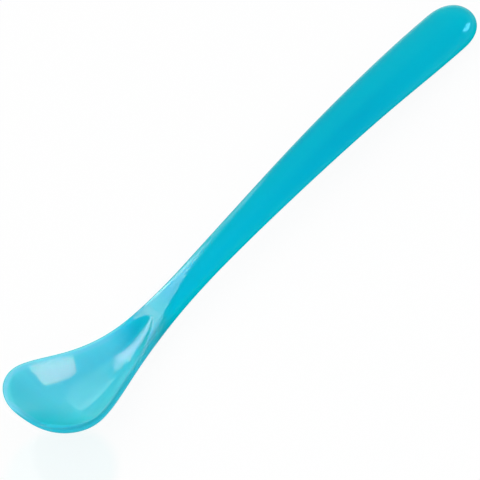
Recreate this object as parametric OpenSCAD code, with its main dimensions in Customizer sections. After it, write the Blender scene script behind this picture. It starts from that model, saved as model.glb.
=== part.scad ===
// Long-handled baby spoon: a stiff handle whose tongue carries a soft scoop moulded over it.
// The spoon lies as it rests on a table, on its bowl and on the end of its handle.
// +X runs from the bowl to the handle, +Z is up, and the hollow faces up.
// The origin is on the table, under the middle of the spoon.
//
// One surface runs through both pieces. It is a loft: every ring has a half width, an edge height,
// a crown above the edge and a belly below it, and the hollow is scooped out of the crown.

/* [Overall] */
// Length from the tip of the bowl to the end of the handle
overall_l = 165; // [140:1:190]

/* [Bowl] */
// Length from the tip to the end of the hollow's tail
bowl_l = 42.5; // [36:0.5:50]
// Width of the bowl across its rim
bowl_w = 28; // [22:0.5:32]
// Depth of the hollow below its rim
hollow_d = 5.8; // [4:0.1:6.6]
// Depth of the belly below the rim, at the front of the bowl
belly_d = 8.6; // [7.8:0.1:11]
// How far the tip of the bowl stands above its tail
tip_rise = 8.3; // [4:0.1:11]
// Width of the lip round the hollow
lip_w = 0.9; // [0.7:0.1:1.6]
// Height of the lip above the widest line of the bowl
lip_h = 0.6; // [0.4:0.1:1]
// Length of the rounded nose, seen from above
nose_l = 13.4; // [11:0.1:16]
// Length of the rounded nose, seen from the side
nose_side_l = 16.4; // [14:0.1:19]
// Length over which the tail of the hollow closes
tail_l = 15; // [10:0.5:18]

/* [Handle] */
// Width of the neck at its narrowest
neck_w = 7.4; // [6:0.1:9]
// Thickness of the neck
neck_t = 7; // [5.5:0.1:8]
// Width of the grip at its widest
grip_w = 13.7; // [11:0.1:16]
// Thickness of the grip
grip_t = 10; // [8:0.1:12]
// How far the handle arches above the tail of the bowl
arch_rise = 2.8; // [1:0.1:5]
// How far the end of the handle drops below the tail of the bowl
end_drop = 1.3; // [0:0.1:2.5]
// Length of the rounded end
end_l = 9.2; // [7:0.1:12]

/* [Joint of handle and bowl] */
// Distance from the end of the hollow's tail back to the joint
seam_back = 2; // [1:0.1:4]
// Length of the tongue that the handle reaches under the hollow
tongue_l = 22; // [14:0.5:26]
// Width of the tongue
tongue_w = 4.4; // [3:0.1:5]
// Radius of the windows in the tongue that the bowl's plastic fills
window_r = 0.9; // [0.6:0.1:1.1]
// Distance between the windows
window_pitch = 5; // [3:0.1:6]

/* [Smoothness] */
// Points across the upper half of each ring
ring_steps = 18; // [12:2:24]

/* [Hidden] */

handle_l = overall_l - bowl_l;
seam_x = bowl_l + seam_back;

// Places along the bowl are shares of bowl_l, and those along the handle are shares of handle_l.
function on_bowl(share) = share * bowl_l;
function on_handle(share) = bowl_l + share * handle_l;
function mix(low, high, share) = low + (high - low) * share;

// Each row is a place, and how far the half width has gone from the neck's to the bowl's.
bowl_width_shares = [[0, 0.92], [0.25, 1.01], [0.5, 0.655], [0.72, 0.317], [0.9, 0.131]];
// Each row is a place, and how far the half width has gone from the neck's to the grip's.
handle_width_shares = [
    [0.04, 0.06], [0.12, 0], [0.27, 0.16], [0.47, 0.517], [0.7, 0.848], [0.87, 0.994], [1, 0.9]];
// Each row is a place, and a share of tip_rise.
tip_rise_shares = [[0, 1], [0.25, 0.74], [0.5, 0.27], [0.72, 0.03], [0.95, 0]];
// Each row is a place, a share of arch_rise and a share of end_drop.
arch_shares = [
    [0.1, 0.395, 0], [0.25, 0.744, 0], [0.45, 1, 0], [0.68, 0.79, 0], [0.87, 0.1, 0], [1, 0, 1]];
// Each row is a place, a share of lip_h and a share of half the neck's thickness.
bowl_crown_shares = [[0, 1, 0], [0.5, 0.7, 0], [0.75, 0.5, 0.1]];
neck_crown_shares = [[0.03, 0.65], [0.14, 0.89]];
// Each row is a place, and a share of belly_d.
bowl_belly_shares = [[0, 1], [0.25, 0.925], [0.5, 0.81], [0.72, 0.7], [0.95, 0.6]];
neck_belly_shares = [[0.1, 1.15]];
// Each row is a place, and how far the half thickness has gone from the neck's to the grip's.
stem_shares = [[0.25, 0], [0.45, 0.07], [0.7, 0.48], [0.88, 1], [1, 1.3]];
// Each row is a place, and a share of hollow_d.
hollow_shares = [[0, 0.78], [0.25, 1], [0.5, 0.7], [0.72, 0.55], [0.9, 0.62], [1, 0.56]];

// How square the crown is, and how steep the walls of the belly are, in the bowl and in the handle.
bowl_square = 6;
handle_square = 2.1;
bowl_steep = 0.72;
handle_steep = 0.48;
// Where the cross-section starts to change from the bowl's to the handle's, and where it has.
change_from = on_bowl(0.61);
change_to = on_handle(0.14);
// Powers of the curves that close the nose and the belly of the bowl, and the end of the handle.
nose_power = 2.6;
belly_power = 2.5;
end_power = 2.3;
// Powers of the curves that close the hollow at its sides, its nose and its tail.
hollow_power = 2;
hollow_nose_power = 2.1;
hollow_tail_power = 3.4;
// How much of the hollow's slope is rounded at its rim.
rim_soft_share = 0.03;

// Curves through named places

// The second derivatives of a smooth curve through points, with none at either end.
function sweep_down(p, i = 1, c = [0], d = [0]) =
    i == len(p) - 1 ? [c, d] :
    let (h0 = p[i][0] - p[i - 1][0])
    let (h1 = p[i + 1][0] - p[i][0])
    let (jump = 6 * ((p[i + 1][1] - p[i][1]) / h1 - (p[i][1] - p[i - 1][1]) / h0))
    let (pivot = 2 * (h0 + h1) - h0 * c[i - 1])
    sweep_down(p, i + 1, concat(c, [h1 / pivot]), concat(d, [(jump - h0 * d[i - 1]) / pivot]));
function sweep_up(c, d, i, m) =
    i == 0 ? concat([0], m) :
    sweep_up(c, d, i - 1, concat([d[i] - c[i] * m[0]], m));
function bends(p) =
    let (s = sweep_down(p))
    sweep_up(s[0], s[1], len(p) - 2, [0]);
function span_of(p, x, i = 0) = i >= len(p) - 2 || x <= p[i + 1][0] ? i : span_of(p, x, i + 1);
// The height of the curve at x.
function curve(p, m, x) =
    let (i = span_of(p, x))
    let (h = p[i + 1][0] - p[i][0])
    let (a = (p[i + 1][0] - x) / h)
    let (b = 1 - a)
    a * p[i][1] + b * p[i + 1][1] + ((pow(a, 3) - a) * m[i] + (pow(b, 3) - b) * m[i + 1]) * h * h / 6;

width_line = concat(
    [for (s = bowl_width_shares) [on_bowl(s[0]), mix(neck_w, bowl_w, s[1]) / 2]],
    [for (s = handle_width_shares) [on_handle(s[0]), mix(neck_w, grip_w, s[1]) / 2]]);
edge_line = concat(
    [for (s = tip_rise_shares) [on_bowl(s[0]), tip_rise * s[1]]],
    [for (s = arch_shares) [on_handle(s[0]), arch_rise * s[1] - end_drop * s[2]]]);
stem_line = [for (s = stem_shares) [on_handle(s[0]), mix(neck_t, grip_t, s[1]) / 2]];
crown_line = concat(
    [for (s = bowl_crown_shares) [on_bowl(s[0]), lip_h * s[1] + neck_t / 2 * s[2]]],
    [for (s = neck_crown_shares) [on_handle(s[0]), neck_t / 2 * s[1]]],
    stem_line);
belly_line = concat(
    [for (s = bowl_belly_shares) [on_bowl(s[0]), belly_d * s[1]]],
    [for (s = neck_belly_shares) [on_handle(s[0]), neck_t / 2 * s[1]]],
    stem_line);
hollow_line = [for (s = hollow_shares) [on_bowl(s[0]), hollow_d * s[1]]];
width_bends = bends(width_line);
edge_bends = bends(edge_line);
crown_bends = bends(crown_line);
belly_bends = bends(belly_line);
hollow_bends = bends(hollow_line);

// The surface

// Rises from 0 to 1 over a length as a rounded end does.
function rounded(x, length, p, q) =
    x >= length ? 1 :
    x <= 0 ? 0 :
    pow(1 - pow(1 - x / length, p), q);
function ease(x, from, to) =
    let (u = max(0, min(1, (x - from) / (to - from))))
    u * u * u * (u * (6 * u - 15) + 10);
function end_round(x) = rounded(overall_l - x, end_l, end_power, 1 / end_power);
function half_width(x) =
    curve(width_line, width_bends, x) * rounded(x, nose_l, nose_power, 1 / nose_power) * end_round(x);
function edge_z(x) = curve(edge_line, edge_bends, x);
function crown_h(x) = curve(crown_line, crown_bends, x) * rounded(x, lip_h, 2, 1 / 2) * end_round(x);
function belly_h(x) =
    curve(belly_line, belly_bends, x) * rounded(x, nose_side_l, belly_power, bowl_steep) * end_round(x);

// Where the hollow is: 1 at its deepest, 0 on its rim, less than 0 outside it.
function hollow_field(x, y) =
    let (nose = max(0, 1 - (x - lip_w) / (nose_l - lip_w)))
    let (tail = max(0, 1 - (bowl_l - x) / tail_l))
    let (room = max(lip_w, curve(width_line, width_bends, x) - lip_w))
    1 - pow(nose, hollow_nose_power) - pow(tail, hollow_tail_power) - pow(abs(y) / room, hollow_power);
function softened(f) =
    f >= rim_soft_share ? f :
    f <= -rim_soft_share ? 0 :
    pow(f + rim_soft_share, 2) / (4 * rim_soft_share);
function hollow_at(x, y) =
    x >= bowl_l + lip_w ? 0 :
    curve(hollow_line, hollow_bends, x) * softened(hollow_field(x, y));

// Height of the upper and the lower surface at x, at a share v of the half width.
function top_z(x, v) =
    let (square = mix(bowl_square, handle_square, ease(x, change_from, change_to)))
    edge_z(x) + crown_h(x) * pow(max(0, 1 - pow(abs(v), square)), 1 / square)
    - hollow_at(x, v * half_width(x));
function low_z(x, v) =
    let (steep = mix(bowl_steep, handle_steep, ease(x, change_from, change_to)))
    edge_z(x) - belly_h(x) * pow(max(0, 1 - v * v), steep);

// Rings near the joint lean, so that it runs from the hollow's tail forward to the underside.
lean = 1.1;
lean_reach = on_bowl(0.5);
function lean_at(x) = lean * ease(lean_reach - abs(x - seam_x), 0, lean_reach);

ring_n = 2 * ring_steps;
// The point at angle a round the ring of station x: the upper half first, then the lower.
function ring_point(x, a) =
    let (v = cos(a))
    let (z = a <= 180 ? top_z(x, v) : low_z(x, v))
    let (at = x + lean_at(x) * (z - edge_z(x) - crown_h(x)))
    [at, v * half_width(at), a <= 180 ? top_z(at, v) : low_z(at, v)];
function ring(x) = [for (i = [0 : ring_n - 1]) ring_point(x, 360 * i / ring_n)];

// Stations of the rings
nose_rings = 12;
bowl_rings = 20;
neck_rings = 5;
stem_rings = 20;
end_rings = 9;
stem_from = on_handle(0.08);
stem_to = overall_l - end_l;
bowl_stations = concat(
    [for (i = [1 : nose_rings]) nose_l * pow(i / nose_rings, 2)],
    [for (i = [1 : bowl_rings]) mix(nose_l, seam_x, i / bowl_rings)]);
handle_stations = concat(
    [for (i = [0 : neck_rings - 1]) mix(seam_x, stem_from, i / neck_rings)],
    [for (i = [0 : stem_rings - 1]) mix(stem_from, stem_to, i / stem_rings)],
    [for (i = [end_rings : -1 : 1]) overall_l - end_l * pow(i / end_rings, 2)]);

// The lowest point of the bowl's belly, which rests on the table.
rest_z = min([for (x = bowl_stations) low_z(x, 0)]);

// Builds a solid from rings, with a point or a flat closing at each end.
module loft(rings, first, last) {
    n = len(rings[0]);
    count = len(rings);
    points = concat([first], [last], [for (r = rings) each r]);
    function at(k, i) = 2 + k * n + i % n;
    faces = concat(
        [for (i = [0 : n - 1]) [0, at(0, i), at(0, i + 1)]],
        [for (k = [0 : count - 2], i = [0 : n - 1]) [at(k, i), at(k + 1, i + 1), at(k, i + 1)]],
        [for (k = [0 : count - 2], i = [0 : n - 1]) [at(k, i), at(k + 1, i), at(k + 1, i + 1)]],
        [for (i = [0 : n - 1]) [1, at(count - 1, i + 1), at(count - 1, i)]]);
    polyhedron(points = points, faces = faces);
}

// Puts the spoon on the table, with the origin under its middle.
module placed() {
    translate([-overall_l / 2, 0, -rest_z]) children();
}

seam_centre =
    let (z = (top_z(seam_x, 0) + low_z(seam_x, 0)) / 2)
    [seam_x + lean * (z - edge_z(seam_x) - crown_h(seam_x)), 0, z];

// The tongue lies in the middle of the wall under the hollow.
tongue_t_share = 0.45;
tongue_from = seam_x - tongue_l;
tongue_root = seam_x + neck_t / 2;
tongue_rings = 12;
tongue_steps = 6;
tongue_nose_l = tongue_w / 2;
tongue_nose_rings = 3;
function tongue_point(x, side, up) =
    let (y = side * tongue_w / 2 * rounded(x - tongue_from, tongue_nose_l, 2, 1 / 2))
    let (v = y / half_width(x))
    let (high = top_z(x, v))
    let (low = low_z(x, v))
    let (wall = min(high - low, belly_d - hollow_d + lip_h))
    [x, y, low + wall / 2 + up * wall * tongue_t_share / 2];
function tongue_ring(x) = concat(
    [for (i = [0 : tongue_steps]) tongue_point(x, 1 - 2 * i / tongue_steps, 1)],
    [for (i = [0 : tongue_steps]) tongue_point(x, 2 * i / tongue_steps - 1, -1)]);
tongue_stations = concat(
    [for (i = [1 : tongue_nose_rings]) tongue_from + tongue_nose_l * pow(i / tongue_nose_rings, 2)],
    [for (i = [1 : tongue_rings]) mix(tongue_from + tongue_nose_l, tongue_root, i / tongue_rings)]);

// Two windows through the tongue, which the bowl's plastic fills and so is anchored by.
windows_share = 0.35;
window_sides = 24;
windows_x = mix(tongue_from, seam_x, windows_share);

module tongue() {
    difference() {
        loft([for (x = tongue_stations) tongue_ring(x)],
            tongue_point(tongue_from, 0, 0), tongue_point(tongue_root, 0, 0));
        for (x = [windows_x - window_pitch / 2, windows_x + window_pitch / 2])
            translate([x, 0, low_z(x, 0)]) cylinder(h = belly_d, r = window_r, $fn = window_sides);
    }
}

module handle() {
    color("deepskyblue")
        placed() union() {
            loft([for (x = handle_stations) ring(x)], seam_centre, [overall_l, 0, edge_z(overall_l)]);
            tongue();
        }
}

module soft_bowl() {
    color("paleturquoise")
        placed() difference() {
            loft([for (x = bowl_stations) ring(x)], [0, 0, edge_z(0)], seam_centre);
            tongue();
        }
}

handle();
soft_bowl();
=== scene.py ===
"""Looks of the long-handled baby spoon: a milky scoop moulded over the tongue of a stiff handle.

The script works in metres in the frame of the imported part: +X from the bowl to the handle, +Z up,
and the origin on the table under the middle of the spoon. The skin is worked out from the same
named sizes and curves as the part's source, here in millimetres from the tip of the bowl and with
many more points. The spoon's near side, the one towards the camera, is at -Y.
"""

import math

import bpy
import numpy as np
from mathutils import Matrix, Quaternion, Vector


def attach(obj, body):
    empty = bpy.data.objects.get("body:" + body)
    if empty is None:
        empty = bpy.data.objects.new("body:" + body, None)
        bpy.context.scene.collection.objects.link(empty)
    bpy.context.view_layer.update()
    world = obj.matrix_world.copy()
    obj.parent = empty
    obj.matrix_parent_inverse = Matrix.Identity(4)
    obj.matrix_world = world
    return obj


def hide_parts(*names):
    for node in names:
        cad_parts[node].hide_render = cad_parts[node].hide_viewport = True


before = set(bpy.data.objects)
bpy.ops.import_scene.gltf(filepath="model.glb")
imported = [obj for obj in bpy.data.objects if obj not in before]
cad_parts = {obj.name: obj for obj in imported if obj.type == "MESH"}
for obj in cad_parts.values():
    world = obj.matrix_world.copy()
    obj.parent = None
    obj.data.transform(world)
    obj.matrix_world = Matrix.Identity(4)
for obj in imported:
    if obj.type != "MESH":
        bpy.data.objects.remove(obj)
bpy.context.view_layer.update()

MM = 0.001

# Sizes of the part in millimetres, as in its source.
OVERALL_L = 165.0
BOWL_L, BOWL_W = 42.5, 28.0
HOLLOW_D, BELLY_D, TIP_RISE = 5.8, 8.6, 8.3
LIP_W, LIP_H = 0.9, 0.6
NOSE_L, NOSE_SIDE_L, TAIL_L = 13.4, 16.4, 15.0
NECK_W, NECK_T, GRIP_W, GRIP_T = 7.4, 7.0, 13.7, 10.0
ARCH_RISE, END_DROP, END_L = 2.8, 1.3, 9.2
SEAM_BACK, TONGUE_L, TONGUE_W = 2.0, 22.0, 4.4
HANDLE_L = OVERALL_L - BOWL_L
SEAM_X = BOWL_L + SEAM_BACK

# Points of the curves along the spoon, as in its source. Each starts with a place, which is a share
# of the bowl's length or of the handle's.
# Width, from the neck's at 0 to the bowl's or the grip's at 1
BOWL_WIDTH = [(0, 0.92), (0.25, 1.01), (0.5, 0.655), (0.72, 0.317), (0.9, 0.131)]
HANDLE_WIDTH = [(0.04, 0.06), (0.12, 0), (0.27, 0.16), (0.47, 0.517), (0.7, 0.848), (0.87, 0.994),
                (1, 0.9)]
# Height of the widest line: shares of the tip's rise, then of the arch's rise and the end's drop
TIP_RISES = [(0, 1), (0.25, 0.74), (0.5, 0.27), (0.72, 0.03), (0.95, 0)]
ARCH = [(0.1, 0.395, 0), (0.25, 0.744, 0), (0.45, 1, 0), (0.68, 0.79, 0), (0.87, 0.1, 0),
        (1, 0, 1)]
# Crown over that line: shares of the lip's height and of half the neck's thickness
BOWL_CROWN = [(0, 1, 0), (0.5, 0.7, 0), (0.75, 0.5, 0.1)]
NECK_CROWN = [(0.03, 0.65), (0.14, 0.89)]
# Belly under it: shares of the belly's depth, then of half the neck's thickness
BOWL_BELLY = [(0, 1), (0.25, 0.925), (0.5, 0.81), (0.72, 0.7), (0.95, 0.6)]
NECK_BELLY = [(0.1, 1.15)]
# Thickness of the handle, from the neck's at 0 to the grip's at 1
STEM = [(0.25, 0), (0.45, 0.07), (0.7, 0.48), (0.88, 1), (1, 1.3)]
# Depth of the hollow, as a share of its full depth
HOLLOW = [(0, 0.78), (0.25, 1), (0.5, 0.7), (0.72, 0.55), (0.9, 0.62), (1, 0.56)]

# How square or steep the rings are, how round the ends and the hollow's outline are, and how far
# the joint leans, as in the source. A power of 2 makes a circle.
BOWL_SQUARE, HANDLE_SQUARE = 6.0, 2.1
BOWL_STEEP, HANDLE_STEEP = 0.72, 0.48
NOSE_POWER, BELLY_POWER, END_POWER, LIP_POWER = 2.6, 2.5, 2.3, 2
HOLLOW_POWER, HOLLOW_NOSE_POWER, HOLLOW_TAIL_POWER = 2.0, 2.1, 3.4
RIM_SOFT = 0.03
LEAN = 1.1


def on_bowl(share):
    return share * BOWL_L


def on_handle(share):
    return BOWL_L + share * HANDLE_L


def mix(low, high, share):
    return low + (high - low) * share


# The bowl's flat rings turn into the handle's round ones between these places, and the leaning of
# the rings fades out within this reach of the joint.
CHANGE_FROM, CHANGE_TO = on_bowl(0.61), on_handle(0.14)
LEAN_REACH = on_bowl(0.5)


class Curve:
    """A smooth line through points, with no bend at either end."""

    def __init__(self, points):
        self.x, self.y = (np.array(c, float) for c in zip(*points))
        h = np.diff(self.x)
        rows = np.eye(len(points))
        jumps = np.zeros(len(points))
        slopes = np.diff(self.y) / h
        for i in range(1, len(points) - 1):
            rows[i, i - 1:i + 2] = h[i - 1], 2 * (h[i - 1] + h[i]), h[i]
            jumps[i] = 6 * (slopes[i] - slopes[i - 1])
        self.bends = np.linalg.solve(rows, jumps)

    def __call__(self, x):
        i = np.clip(np.searchsorted(self.x, x) - 1, 0, len(self.x) - 2)
        h = self.x[i + 1] - self.x[i]
        a = (self.x[i + 1] - x) / h
        b = 1 - a
        bend = (a ** 3 - a) * self.bends[i] + (b ** 3 - b) * self.bends[i + 1]
        return a * self.y[i] + b * self.y[i + 1] + bend * h * h / 6


stem_points = [(on_handle(s), mix(NECK_T, GRIP_T, k) / 2) for s, k in STEM]
width_line = Curve([(on_bowl(s), mix(NECK_W, BOWL_W, k) / 2) for s, k in BOWL_WIDTH]
                   + [(on_handle(s), mix(NECK_W, GRIP_W, k) / 2) for s, k in HANDLE_WIDTH])
edge_line = Curve([(on_bowl(s), TIP_RISE * k) for s, k in TIP_RISES]
                  + [(on_handle(s), ARCH_RISE * k - END_DROP * d) for s, k, d in ARCH])
crown_line = Curve([(on_bowl(s), LIP_H * k + NECK_T / 2 * n) for s, k, n in BOWL_CROWN]
                   + [(on_handle(s), NECK_T / 2 * k) for s, k in NECK_CROWN] + stem_points)
belly_line = Curve([(on_bowl(s), BELLY_D * k) for s, k in BOWL_BELLY]
                   + [(on_handle(s), NECK_T / 2 * k) for s, k in NECK_BELLY] + stem_points)
hollow_line = Curve([(on_bowl(s), HOLLOW_D * k) for s, k in HOLLOW])


def rounded(x, length, p, q):
    """Rises from 0 to 1 over a length as a rounded end does."""
    u = np.clip(1 - x / length, 0, 1)
    return np.clip(1 - u ** p, 0, 1) ** q


def ease(x, start, stop):
    """Rises from 0 at start to 1 at stop, with no bend at either."""
    u = np.clip((x - start) / (stop - start), 0, 1)
    return u ** 3 * (u * (6 * u - 15) + 10)


def end_round(x):
    return rounded(OVERALL_L - x, END_L, END_POWER, 1 / END_POWER)


def half_width(x):
    return width_line(x) * rounded(x, NOSE_L, NOSE_POWER, 1 / NOSE_POWER) * end_round(x)


def crown_h(x):
    return crown_line(x) * rounded(x, LIP_H, LIP_POWER, 1 / LIP_POWER) * end_round(x)


def belly_h(x):
    return belly_line(x) * rounded(x, NOSE_SIDE_L, BELLY_POWER, BOWL_STEEP) * end_round(x)


def hollow_field(x, y):
    """1 in the middle of the hollow, 0 on its rim, and less than 0 outside it."""
    nose = np.maximum(0, 1 - (x - LIP_W) / (NOSE_L - LIP_W)) ** HOLLOW_NOSE_POWER
    tail = np.maximum(0, 1 - (BOWL_L - x) / TAIL_L) ** HOLLOW_TAIL_POWER
    room = np.maximum(LIP_W, width_line(x) - LIP_W)
    return 1 - nose - tail - (np.abs(y) / room) ** HOLLOW_POWER


def hollow_at(x, y):
    """Depth of the hollow, with its rim rounded off."""
    field = hollow_field(x, y)
    soft = np.clip(field + RIM_SOFT, 0, None) ** 2 / (4 * RIM_SOFT)
    share = np.where(field >= RIM_SOFT, field, soft)
    return np.where(x >= BOWL_L + LIP_W, 0, hollow_line(x) * share)


def top_z(x, v):
    """Height of the upper surface at x, at a share v of the half width."""
    square = mix(BOWL_SQUARE, HANDLE_SQUARE, ease(x, CHANGE_FROM, CHANGE_TO))
    crown = crown_h(x) * np.clip(1 - np.abs(v) ** square, 0, 1) ** (1 / square)
    return edge_line(x) + crown - hollow_at(x, v * half_width(x))


def low_z(x, v):
    """Height of the lower surface at x, at a share v of the half width."""
    steep = mix(BOWL_STEEP, HANDLE_STEEP, ease(x, CHANGE_FROM, CHANGE_TO))
    return edge_line(x) - belly_h(x) * np.clip(1 - v * v, 0, 1) ** steep


# The height of the spot that the bowl rests on, sought in even steps from just behind the tip.
REST_FROM, REST_STEPS = 1, 4000
REST_Z = low_z(np.linspace(REST_FROM, SEAM_X, REST_STEPS), 0).min()


def lean_at(x):
    return LEAN * ease(LEAN_REACH - np.abs(x - SEAM_X), 0, LEAN_REACH)


def above_crown(x, z):
    """Height of a point over the top of the crown, the line that a leaning ring turns about."""
    return z - edge_line(x) - crown_h(x)


def placed(x, y, z):
    """Points in millimetres from the tip, put into the frame in metres."""
    return np.stack([x - OVERALL_L / 2, y, z - REST_Z], axis=-1) * MM


def rings(stations, sides):
    """Points of the spoon's skin: a ring for each station, the upper half first, then the lower."""
    x, a = np.meshgrid(stations, np.arange(sides) * 2 * math.pi / sides, indexing="ij")
    v, upper = np.cos(a), a <= math.pi
    z = np.where(upper, top_z(x, v), low_z(x, v))
    at = x + lean_at(x) * above_crown(x, z)
    return placed(at, v * half_width(at), np.where(upper, top_z(at, v), low_z(at, v)))


def mesh_object(name, points, faces):
    mesh = bpy.data.meshes.new(name)
    mesh.from_pydata([tuple(p) for p in points], [], faces)
    mesh.validate()
    obj = bpy.data.objects.new(name, mesh)
    bpy.context.scene.collection.objects.link(obj)
    return obj


def loft(name, grid, first, last):
    """A closed skin over rings, with a point in the middle of each end."""
    count, sides = grid.shape[:2]
    points = np.concatenate([grid.reshape(-1, 3), [first], [last]])
    near, far = count * sides, count * sides + 1

    def at(k, i):
        return k * sides + i % sides

    faces = [(at(k, i), at(k, i + 1), at(k + 1, i + 1), at(k + 1, i))
             for k in range(count - 1) for i in range(sides)]
    faces += [(near, at(0, i + 1), at(0, i)) for i in range(sides)]
    faces += [(far, at(count - 1, i), at(count - 1, i + 1)) for i in range(sides)]
    return mesh_object(name, points, faces)


# The rings crowd together at the tip, at the joint and at the end, where the skin bends most or has
# to match. A ring this far from the joint, in millimetres, keeps its edge crisp.
SIDES = 128
NOSE_RINGS, BOWL_RINGS, STEM_RINGS, END_RINGS = 48, 140, 260, 48
JOINT_GAP = 0.03


def middle(x):
    """The point in the middle of the leaning ring at x."""
    z = (top_z(x, 0) + low_z(x, 0)) / 2
    return placed(x + LEAN * above_crown(x, z), 0, z)


def bowl_scoop():
    stations = np.concatenate([
        NOSE_L * (np.arange(1, NOSE_RINGS + 1) / NOSE_RINGS) ** 2,
        np.linspace(NOSE_L, SEAM_X - JOINT_GAP, BOWL_RINGS)[1:],
        [SEAM_X]])
    tip = placed(0, 0, edge_line(0))
    return loft("bowl_scoop", rings(stations, SIDES), tip, middle(SEAM_X))


def handle_stem():
    stations = np.concatenate([
        [SEAM_X],
        np.linspace(SEAM_X + JOINT_GAP, OVERALL_L - END_L, STEM_RINGS)[:-1],
        OVERALL_L - END_L * (np.arange(END_RINGS, 0, -1) / END_RINGS) ** 2])
    end = placed(OVERALL_L, 0, edge_line(OVERALL_L))
    return loft("handle_stem", rings(stations, SIDES), middle(SEAM_X), end)


# Layers of colour and gloss, painted on the points

# Each pair holds where a layer starts and stops to fade, in millimetres from the tip of the bowl or
# from its rim. Shares of the half width are 1 at the far side and -1 at the near side.
# No point counts as closer to either end than this, because the spoon has no width there.
CLEAR = 0.01
# The bowl's own layers fade over this length before and after its end.
BOWL_FADE = 6
# A wall this thin shows its palest colour, and here the neck becomes solid.
THIN_WALL, SOLID_FROM = 2, (26, 43)
# Painted shade at the nose, deepest on its near side: how far back it reaches, and its value in the
# middle, with its slope and limits
NOSE_DEPTH_L, NOSE_DEPTH_POWER = 9.5, 3
NOSE_DEPTH, NOSE_DEPTH_SLOPE, NOSE_DEPTH_RANGE = 0.5, 0.75, (0.1, 0.95)
# Painted shade along the rim, inside and out: its strength in the middle and its slope, then where
# it fades
RIM_DEPTH, RIM_DEPTH_SLOPE = 0.65, 0.35
RIM_OUTSIDE, RIM_INSIDE, RIM_EDGE = (0.5, 4.0), (0.9, 2.2), (0.1, 0.7)
# The dull lip, and the glossy line in it
LIP_OUTSIDE, LIP_INSIDE = (0.3, 1.8), (1.0, 2.2)
GLINT_AT, GLINT_SPREAD = 0.75, 0.22
GLINT_SIDE, GLINT_FROM = (0.3, 0.6), (5, 9)
# The deep colour along the handle, and how much of it is lost towards the grip, which is painted
# light
BAR_RISE, BAR_FALL, BAR_END, BAR_FALL_SHARE = (50, 120), (115, 145), (150, 162), 0.55
# How the tongue and the joint fade out
TONGUE_FADE, TONGUE_SPREAD, TONGUE_POWER = 2, 0.6, 4
JOINT_FADE = 5


class Skin:
    """Where each point of a piece lies on the spoon, in millimetres from the tip of the bowl."""

    def __init__(self, obj):
        co = np.zeros(len(obj.data.vertices) * 3)
        obj.data.vertices.foreach_get("co", co)
        x, self.y, z = (co.reshape(-1, 3) / MM).T
        self.x = np.clip(x + OVERALL_L / 2, CLEAR, OVERALL_L - CLEAR)
        self.z = z + REST_Z
        half = half_width(self.x)
        self.v = np.clip(self.y / np.maximum(half, CLEAR), -1, 1)
        self.top, self.low = top_z(self.x, self.v), low_z(self.x, self.v)
        self.outside = np.abs(self.z - self.low) < np.abs(self.z - self.top)
        self.from_rim = np.minimum((1 - np.abs(self.v)) * half, self.x)
        self.in_bowl = 1 - ease(self.x, BOWL_L - BOWL_FADE, BOWL_L + BOWL_FADE)

    def near_rim(self, outside, inside):
        """1 at the rim and 0 away from it, fading over a pair for either side of the wall."""
        start, stop = (np.where(self.outside, a, b) for a, b in zip(outside, inside))
        return 1 - ease(self.from_rim, start, stop)


def depth_and_nose_shade(skin):
    """How much plastic is behind a point: little in the bowl's wall, all in the neck and handle.

    The nose is deep too, most on its near side where the curled wall is seen at a slant: painted
    shade.
    """
    wall = np.clip((skin.top - skin.low - THIN_WALL) / (NECK_T - THIN_WALL), 0, 1)
    # Painted shade: the nose deepens towards its near side.
    nose = np.clip(NOSE_DEPTH - NOSE_DEPTH_SLOPE * skin.v, *NOSE_DEPTH_RANGE)
    nose = nose * np.exp(-(skin.x / NOSE_DEPTH_L) ** NOSE_DEPTH_POWER)
    return np.maximum(np.maximum(wall, ease(skin.x, *SOLID_FROM)), nose)


def rim(skin):
    """Painted shade along the border of the bowl, strongest outside and on the near side."""
    # Painted shade: darker on the outside and towards the near side.
    strength = np.where(skin.outside, 1, RIM_DEPTH - RIM_DEPTH_SLOPE * skin.v)
    border = strength * skin.near_rim(RIM_OUTSIDE, RIM_INSIDE)
    return skin.in_bowl * np.maximum(border, skin.near_rim(RIM_EDGE, RIM_EDGE))


def dull(skin):
    """How far the lip lacks the gloss, apart from a thin line along its near side."""
    line = np.exp(-((skin.from_rim - GLINT_AT) / GLINT_SPREAD) ** 2)
    glint = line * ease(-skin.v, *GLINT_SIDE) * ease(skin.x, *GLINT_FROM) * ~skin.outside
    return skin.in_bowl * skin.near_rim(LIP_OUTSIDE, LIP_INSIDE) * (1 - glint)


def bar_and_painted_end_light(skin):
    """The deepest colour, in the middle of the handle. It is painted lighter towards the round end:
    painted light.
    """
    # Painted light: the deep colour fades towards the grip and the end.
    fall = 1 - BAR_FALL_SHARE * ease(skin.x, *BAR_FALL)
    return ease(skin.x, *BAR_RISE) * fall * (1 - ease(skin.x, *BAR_END))


def tongue(skin):
    """The part of the scoop over the handle's tongue, which shows through it."""
    along = ease(skin.x, SEAM_X - TONGUE_L, SEAM_X - TONGUE_FADE)
    return along * np.exp(-(skin.y / (TONGUE_W * TONGUE_SPREAD)) ** TONGUE_POWER)


def seam(skin):
    """1 on the joint of the two pieces, where they have to look alike, and 0 away from it."""
    station = skin.x - lean_at(skin.x) * above_crown(skin.x, skin.z)
    return 1 - np.clip(np.abs(station - SEAM_X) / JOINT_FADE, 0, 1) ** 2


LAYERS = {"dull": dull, "seam": seam, "thick_and_nose_shade": depth_and_nose_shade, "bar_and_painted_end_light": bar_and_painted_end_light, "rim": rim, "tongue": tongue}
# Faces that meet at more than this angle, in degrees, keep a hard edge.
CREASE = 40


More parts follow.
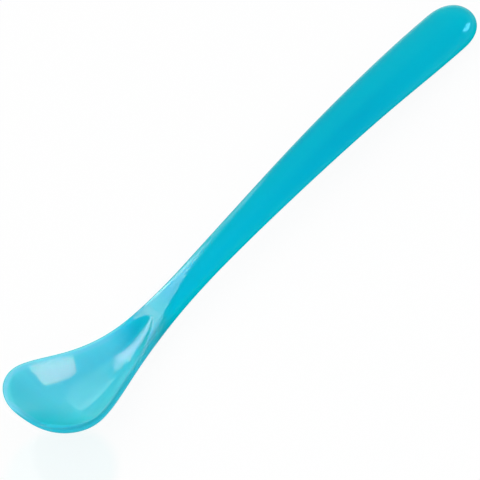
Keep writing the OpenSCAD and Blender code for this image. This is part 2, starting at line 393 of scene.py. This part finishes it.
def finish_skin(obj):
    """Shades a piece smooth and paints its layers."""
    obj.data.polygons.foreach_set("use_smooth", [True] * len(obj.data.polygons))
    obj.data.set_sharp_from_angle(angle=math.radians(CREASE))
    skin = Skin(obj)
    for name, layer in LAYERS.items():
        values = obj.data.attributes.new(name, "FLOAT", "POINT")
        values.data.foreach_set("value", np.asarray(layer(skin), np.float32))


# Materials

# A Mix node's sockets for colours share their names with those for numbers, so they go by place.
MIX_FACTOR, MIX_FIRST, MIX_SECOND, MIX_RESULT = 0, 6, 7, 2


class Nodes:
    """Short calls to add nodes to a material and to link them."""

    def __init__(self, name):
        self.material = bpy.data.materials.new(name)
        self.material.use_nodes = True
        self.tree = self.material.node_tree
        self.tree.nodes.clear()

    def add(self, kind, **settings):
        node = self.tree.nodes.new("ShaderNode" + kind)
        for key, value in settings.items():
            setattr(node, key, value)
        return node

    def put(self, node, values):
        """Sets a node's sockets, given by name or place, to values or links them to outputs."""
        for key, value in values.items():
            if hasattr(value, "is_output"):
                self.tree.links.new(value, node.inputs[key])
            else:
                node.inputs[key].default_value = value
        return node

    def math(self, operation, *values, clamp=False):
        node = self.add("Math", operation=operation, use_clamp=clamp)
        return self.put(node, dict(enumerate(values))).outputs[0]

    def blend(self, factor, first, second):
        node = self.add("Mix", data_type="RGBA")
        values = {MIX_FACTOR: factor, MIX_FIRST: first, MIX_SECOND: second}
        return self.put(node, values).outputs[MIX_RESULT]

    def attribute(self, name):
        return self.add("Attribute", attribute_name=name).outputs["Fac"]

    def place(self):
        return self.add("TexCoord").outputs["Object"]

    def ramp(self, value, low, high, start=0.0, stop=1.0):
        """Goes smoothly from start to stop while the value goes from low to high."""
        node = self.add("MapRange", interpolation_type="SMOOTHSTEP")
        values = {"Value": value, "From Min": low, "From Max": high,
                  "To Min": start, "To Max": stop}
        return self.put(node, values).outputs[0]

    def noise(self, scale, detail=2.0):
        values = {"Vector": self.place(), "Scale": scale, "Detail": detail}
        return self.put(self.add("TexNoise"), values).outputs[0]

    def shader(self, kind, **values):
        return self.put(self.add(kind), values).outputs[0]

    def mix_shaders(self, factor, first, second):
        return self.put(self.add("MixShader"), dict(enumerate((factor, first, second)))).outputs[0]

    def finish(self, shader):
        self.put(self.add("OutputMaterial"), {"Surface": shader})
        return self.material


# Colours of the plastic: the bowl's thin wall, the painted shade along its lip, the neck, the
# middle of the handle, and the scoop over the tongue.
PALE = (0.3, 0.65, 0.85, 1)
LIP_SHADE = (0.03, 0.35, 0.44, 1)
NECK = (0.0, 0.515, 0.72, 1)
DEEP = (0.0, 0.45, 0.67, 1)
CORE = (0.004, 0.51, 0.71, 1)
# The coat takes out more red and a little of the rest where it is seen at a slant.
COAT_TINT = (0.45, 0.9, 0.84, 1)

# Two noises make the plastic uneven. Each has its scale, and its share of the colour, of the
# roughness and of the ripples.
CLOUD_SCALE, CLOUD_COLOUR = 60, 0.06
GRAIN_SCALE, GRAIN_COLOUR, GRAIN_ROUGH, GRAIN_RIPPLE = 1400, 0.05, 0.5, 0.04
TONGUE_COLOUR = 0.6
DULL_SHARE = 0.85


def plastic_colour(n, cloud, grain):
    """Pale where the wall is thin, deep where it is thick, and never quite even, with painted shade
    at the rim and the nose's near side and painted light towards the handle's end.
    """
    # Pale to deep by the wall's thickness; the nose's near side is painted shade.
    colour = n.blend(n.attribute("thick_and_nose_shade"), PALE, NECK)
    # The handle's own deep colour, with painted light towards its end.
    colour = n.blend(n.attribute("bar_and_painted_end_light"), colour, DEEP)
    # Painted shade along the bowl's rim, deepest outside and on the near side.
    colour = n.blend(n.attribute("rim"), colour, LIP_SHADE)
    colour = n.blend(n.math("MULTIPLY", n.attribute("tongue"), TONGUE_COLOUR), colour, CORE)
    colour = n.blend(n.math("MULTIPLY", cloud, CLOUD_COLOUR), colour, DEEP)
    return n.blend(n.math("MULTIPLY", grain, GRAIN_COLOUR), colour, NECK)


def plastic(name):
    """Tinted, slightly milky plastic with a glossy coat, which moulding leaves a little rippled."""
    n = Nodes(name)
    cloud, grain = n.noise(CLOUD_SCALE), n.noise(GRAIN_SCALE)
    patches = n.math("ADD", n.math("MULTIPLY", grain, GRAIN_ROUGH), cloud)
    ripple = n.put(n.add("Bump"), {
        "Height": n.math("ADD", n.math("MULTIPLY", grain, GRAIN_RIPPLE), cloud),
        "Strength": 0.5,
        "Distance": 0.00006}).outputs[0]
    shader = n.put(n.add("BsdfPrincipled"), {
        "Base Color": plastic_colour(n, cloud, grain),
        "Roughness": n.ramp(patches, low=0.5, high=1.0, start=0.03, stop=0.055),
        "Normal": ripple,
        "Specular IOR Level": 0.0,
        "Coat Weight": n.math("MULTIPLY_ADD", n.attribute("dull"), -DULL_SHARE, 1.0),
        "Coat Roughness": 0.03,
        "Coat IOR": 1.15,
        "Coat Tint": COAT_TINT,
        "Coat Normal": ripple,
        # None at the joint, where the light inside can't pass from one piece to the other.
        "Subsurface Weight": n.math("SUBTRACT", 1.0, n.attribute("seam"), clamp=True),
        "Subsurface Radius": (0.25, 1.0, 1.2),
        "Subsurface Scale": 0.004})
    return n.finish(shader.outputs[0])


scoop, stem = bowl_scoop(), handle_stem()
for piece in (scoop, stem):
    finish_skin(piece)

for piece, node, slot in ((scoop, "soft_bowl", "bowl_plastic"),
                          (stem, "handle", "handle_plastic")):
    piece.data.materials.append(plastic("tinted_" + slot))
    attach(piece, "root")
    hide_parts(node)

# Floor

FLOOR_R, FLOOR_DROP = 4.0, 0.0002
FLOOR_GREY, FLOOR_GLOW = (0.9, 0.9, 0.9, 1), 0.93
WHITE = (1, 1, 1, 1)
# The table right under the spoon, as the plastic mirrors it, is painted shade: a dark teal glow
# that stands in for the spoon's shadow and the light that came through it. It fades over these
# distances from the spoon's axis and from its middle, in metres.
UNDER_ASIDE, UNDER_ALONG = (0.007, 0.018), (0.083, 0.11)
UNDER_PAINTED_SHADE = (0.0, 0.3, 0.36, 1)
# The spot where the table shows a faint reflection of the bowl, which fades over these distances.
SHINE_SPOT, SHINE_REACH = (-0.0836, -0.009, 0), (0.0115, 0.0155)
# Near the bowl the table's white glow is tinted faintly cyan, a painted reflection, besides a weak
# real shine.
SHINE_SHARE, SHINE_PAINTED_TINT, SHINE_PATCHES = 0.03, (0.95, 1, 1, 1), 25


def table_white():
    """A table that the camera and the plastic see as white, but for painted shade under the spoon
    in the plastic's reflections, a painted cyan reflection near the bowl, and the shine.
    """
    n = Nodes("floor_white")
    parts = n.put(n.add("SeparateXYZ"), {0: n.place()})
    aside, along = (n.math("ABSOLUTE", parts.outputs[axis]) for axis in "YX")
    under = n.math("MULTIPLY", n.ramp(aside, *UNDER_ASIDE, start=1.0, stop=0.0),
                   n.ramp(along, *UNDER_ALONG, start=1.0, stop=0.0))
    path = n.add("LightPath")
    # Painted shade: the plastic's reflections see a dark teal glow under the spoon.
    tinted = n.math("MULTIPLY", path.outputs["Is Glossy Ray"], under)
    seen = path.outputs["Is Camera Ray"]
    for kind in ("Is Glossy Ray", "Is Transmission Ray"):
        seen = n.math("ADD", seen, path.outputs[kind], clamp=True)
    away = n.put(n.add("VectorMath", operation="DISTANCE"), {0: n.place(), 1: SHINE_SPOT})
    near_bowl = n.ramp(away.outputs["Value"], *SHINE_REACH, start=1.0, stop=0.0)
    rough = n.ramp(n.noise(SHINE_PATCHES), low=0.3, high=0.7, start=0.08, stop=0.12)
    # Painted reflection: near the bowl the white glow turns faintly cyan.
    table = n.mix_shaders(n.math("MULTIPLY", seen, FLOOR_GLOW),
                          n.shader("BsdfDiffuse", Color=FLOOR_GREY),
                          n.shader("Emission", Color=n.blend(near_bowl, WHITE, SHINE_PAINTED_TINT)))
    table = n.mix_shaders(tinted, table, n.shader("Emission", Color=UNDER_PAINTED_SHADE))
    table = n.mix_shaders(n.math("MULTIPLY", near_bowl, SHINE_SHARE), table,
                          n.shader("BsdfGlossy", Roughness=rough))
    return n.finish(table)


corners = [(x * FLOOR_R, y * FLOOR_R, 0) for x, y in ((-1, -1), (1, -1), (1, 1), (-1, 1))]
floor = mesh_object("floor", corners, [(0, 1, 2, 3)])
floor.location.z = -FLOOR_DROP
floor.data.materials.append(table_white())

# Studio

BOWL_MIDDLE = (-0.066, 0.003, 0.006)
END_MIDDLE = (0.0725, 0, 0.006)
ROOM_LIGHT = 0.5
# The dim highlight is two lamps, one over the other, for a soft edge. This is how much their
# height grows, and a small power of it is how much their width does.
DIM_GROWTHS, DIM_WIDTH_POWER = (0.8, 1.2), 0.3


def direction(azimuth, elevation):
    a, e = math.radians(azimuth), math.radians(elevation)
    return Vector((math.cos(a) * math.cos(e), math.sin(a) * math.cos(e), math.sin(e)))


def facing(away, roll=0):
    """The turn of a lamp that stands in a direction and shines back along it."""
    return away.to_track_quat("Z", "Y") @ Quaternion((0, 0, 1), math.radians(roll))


def lamp(name, size, radiance, place, turn, fill=False, colour=(1, 1, 1), only=None):
    """A flat lamp that the camera doesn't see. Its radiance is what a mirror shows of it.

    A fill lamp lights the spoon and isn't mirrored. Any other is mirrored and doesn't light it.
    With only, a collection, it shows on that collection alone.
    """
    light = bpy.data.lights.new(name, "AREA")
    light.shape = "RECTANGLE"
    light.size, light.size_y = size
    light.energy = radiance * math.pi * light.size * light.size_y
    light.color = colour
    obj = bpy.data.objects.new(name, light)
    bpy.context.scene.collection.objects.link(obj)
    obj.location = place
    obj.rotation_euler = turn.to_euler()
    obj.visible_camera = False
    obj.visible_diffuse = fill
    obj.visible_glossy = not fill
    if not fill:
        light.cycles.max_bounces = 1
    obj.light_linking.receiver_collection = only
    return obj


def softbox(name, azimuth, elevation, width, height, radiance, distance=1.0, target=(0, 0, 0),
            roll=0, **settings):
    """A lamp that faces a target. Its width and height are degrees, as seen from there."""
    away = direction(azimuth, elevation)
    size = [2 * distance * math.tan(math.radians(a / 2)) for a in (width, height)]
    place = Vector(target) + away * distance
    return lamp(name, size, radiance, place, facing(away, roll), **settings)


def card(name, azimuth, elevation, across, up, radiance, distance=0.6, **settings):
    """A lamp on a plane square to a direction from the bowl.

    Its edges, left to right and low to high, are slopes from that line.
    """
    away = direction(azimuth, elevation)
    side, rise = direction(azimuth - 90, 0), direction(azimuth, elevation + 90)
    size = [(stop - start) * distance for start, stop in (across, up)]
    line = away + side * sum(across) / 2 + rise * sum(up) / 2
    place = Vector(BOWL_MIDDLE) + distance * line
    return lamp(name, size, radiance, place, facing(away), **settings)


def strip(name, start, stop, height, radiance, beside=1.0, **settings):
    """A small lamp that stands in the hollow and faces its near wall.

    It stands in for the part of the band card that the hollow's far wall hides. Start and stop are
    millimetres from the tip and from the table. Its height and its place beside the middle are
    millimetres too.
    """
    along = Vector((stop[0] - start[0], 0, stop[1] - start[1])) * MM
    place = Vector((start[0] - OVERALL_L / 2, beside, start[1])) * MM + along / 2
    axis, back = along.normalized(), Vector((0, 1, 0))
    turn = Matrix((axis, back.cross(axis), back)).transposed()
    return lamp(name, (along.length, height * MM), radiance, place, turn, **settings)


def fade(obj, low, start, stop):
    """Dims a lamp downwards: low below the share start of its height, and full above stop.

    Parametric holds 1 - u - v and u, so their sum, 1 - v, is the share of the height.
    """
    obj.data.use_nodes = True
    tree = obj.data.node_tree
    spot = tree.nodes.new("ShaderNodeNewGeometry")
    parts = tree.nodes.new("ShaderNodeSeparateXYZ")
    height = tree.nodes.new("ShaderNodeMath")
    tree.links.new(spot.outputs["Parametric"], parts.inputs[0])
    tree.links.new(parts.outputs["X"], height.inputs[0])
    tree.links.new(parts.outputs["Y"], height.inputs[1])
    ramp = tree.nodes.new("ShaderNodeMapRange")
    tree.links.new(height.outputs[0], ramp.inputs["Value"])
    ramp.inputs["From Min"].default_value = start
    ramp.inputs["From Max"].default_value = stop
    ramp.inputs["To Min"].default_value = low
    tree.links.new(ramp.outputs[0], tree.nodes["Emission"].inputs["Strength"])


def alone(name, obj):
    """A collection that holds one object, for the lamps that show on it alone."""
    collection = bpy.data.collections.new(name)
    collection.objects.link(obj)
    return collection


def light_room():
    """The pale room and the soft lamps that light the spoon from above and from the front."""
    world = bpy.data.worlds.new("studio")
    bpy.context.scene.world = world
    world.use_nodes = True
    background = world.node_tree.nodes["Background"]
    background.inputs["Color"].default_value = WHITE
    background.inputs["Strength"].default_value = ROOM_LIGHT
    softbox("fill_top", azimuth=0, elevation=90, width=120, height=120, radiance=0.62, fill=True)
    softbox("fill_front", azimuth=-125, elevation=20, width=70, height=40, radiance=0.9,
            fill=True, colour=(0.8, 0.95, 1.0))


def light_handle():
    """The long pale streak on the neck, with its softer edge, and the small one at the end."""
    on_stem = alone("on_stem", stem)
    for name, across, radiance in (("far_wall", (0.7, 1.31), 30), ("wall_edge", (1.31, 1.52), 5)):
        wall = card(name, azimuth=123.6, elevation=0, across=across, up=(0, 4.6),
                    radiance=radiance, distance=2.0, colour=(0.72, 0.94, 1.0), only=on_stem)
        fade(wall, low=0.0, start=0.05, stop=0.42)
    softbox("end_box", azimuth=-36, elevation=9, width=23, height=22, radiance=60, distance=2.0,
            target=END_MIDDLE, colour=(0.21, 0.72, 1.0))


def light_scoop():
    """The highlights in the hollow. Black cards would keep these lamps off the handle."""
    on_scoop = alone("on_scoop", scoop)
    softbox("bright_box", azimuth=-45.9, elevation=46.5, width=17, height=46.5, radiance=46,
            distance=0.6, target=BOWL_MIDDLE, roll=-65.9, colour=(1.0, 0.8, 0.45), only=on_scoop)
    band = card("band_card", azimuth=90, elevation=55, across=(-0.9, 0.525), up=(-0.95, 0.62),
                radiance=34, colour=(0.95, 0.9, 0.9), only=on_scoop)
    fade(band, low=0.36, start=0.31, stop=0.61)
    strip("tail_strip", (32.2, 4.6), (37.2, 4.95), height=0.75, radiance=14, only=on_scoop)
    strip("tail_strip_end", (36.9, 4.75), (40.3, 6.95), height=0.8, radiance=14, only=on_scoop)
    for grow in DIM_GROWTHS:
        softbox("dim_box", azimuth=50.5, elevation=27.2, width=73.2 * grow ** DIM_WIDTH_POWER,
                height=11.5 * grow, radiance=4.3, distance=0.6, target=BOWL_MIDDLE, roll=-61.2,
                only=on_scoop)


light_room()
light_handle()
light_scoop()
# The white ceiling that the table's shine shows
softbox("ceiling", azimuth=54.5, elevation=49.5, width=30, height=30, radiance=1.0, distance=2.0,
        target=BOWL_MIDDLE, only=alone("on_floor", floor))

# Camera: the photograph's view of the spoon, found by fitting its outline. It aims to the left of a
# spot on the spoon's axis, and lower.
RIGHT = Vector((0.659, -0.730, -0.181))
UP = Vector((0.651, 0.433, 0.623))
BACK = Vector((-0.377, -0.529, 0.761))
AIM_SPOT, SHIFT_LEFT, SHIFT_DOWN = Vector((0, 0, 0.006)), 0.00482, 0.00645
AIM = AIM_SPOT - RIGHT * SHIFT_LEFT - UP * SHIFT_DOWN
CAMERA_D, LENS, FILM_W, CLIP = 0.7, 210.7, 36, (0.01, 20)


def add_camera():
    data = bpy.data.cameras.new("camera")
    data.lens, data.sensor_width = LENS, FILM_W
    data.clip_start, data.clip_end = CLIP
    camera = bpy.data.objects.new("camera", data)
    bpy.context.scene.collection.objects.link(camera)
    side = RIGHT.normalized()
    back = (BACK - side * BACK.dot(side)).normalized()
    turn = Matrix((side, back.cross(side), back)).transposed().to_4x4()
    camera.matrix_world = Matrix.Translation(AIM + back * CAMERA_D) @ turn
    return camera


bpy.context.scene.camera = add_camera()
bpy.context.scene.view_settings.view_transform = "Standard"
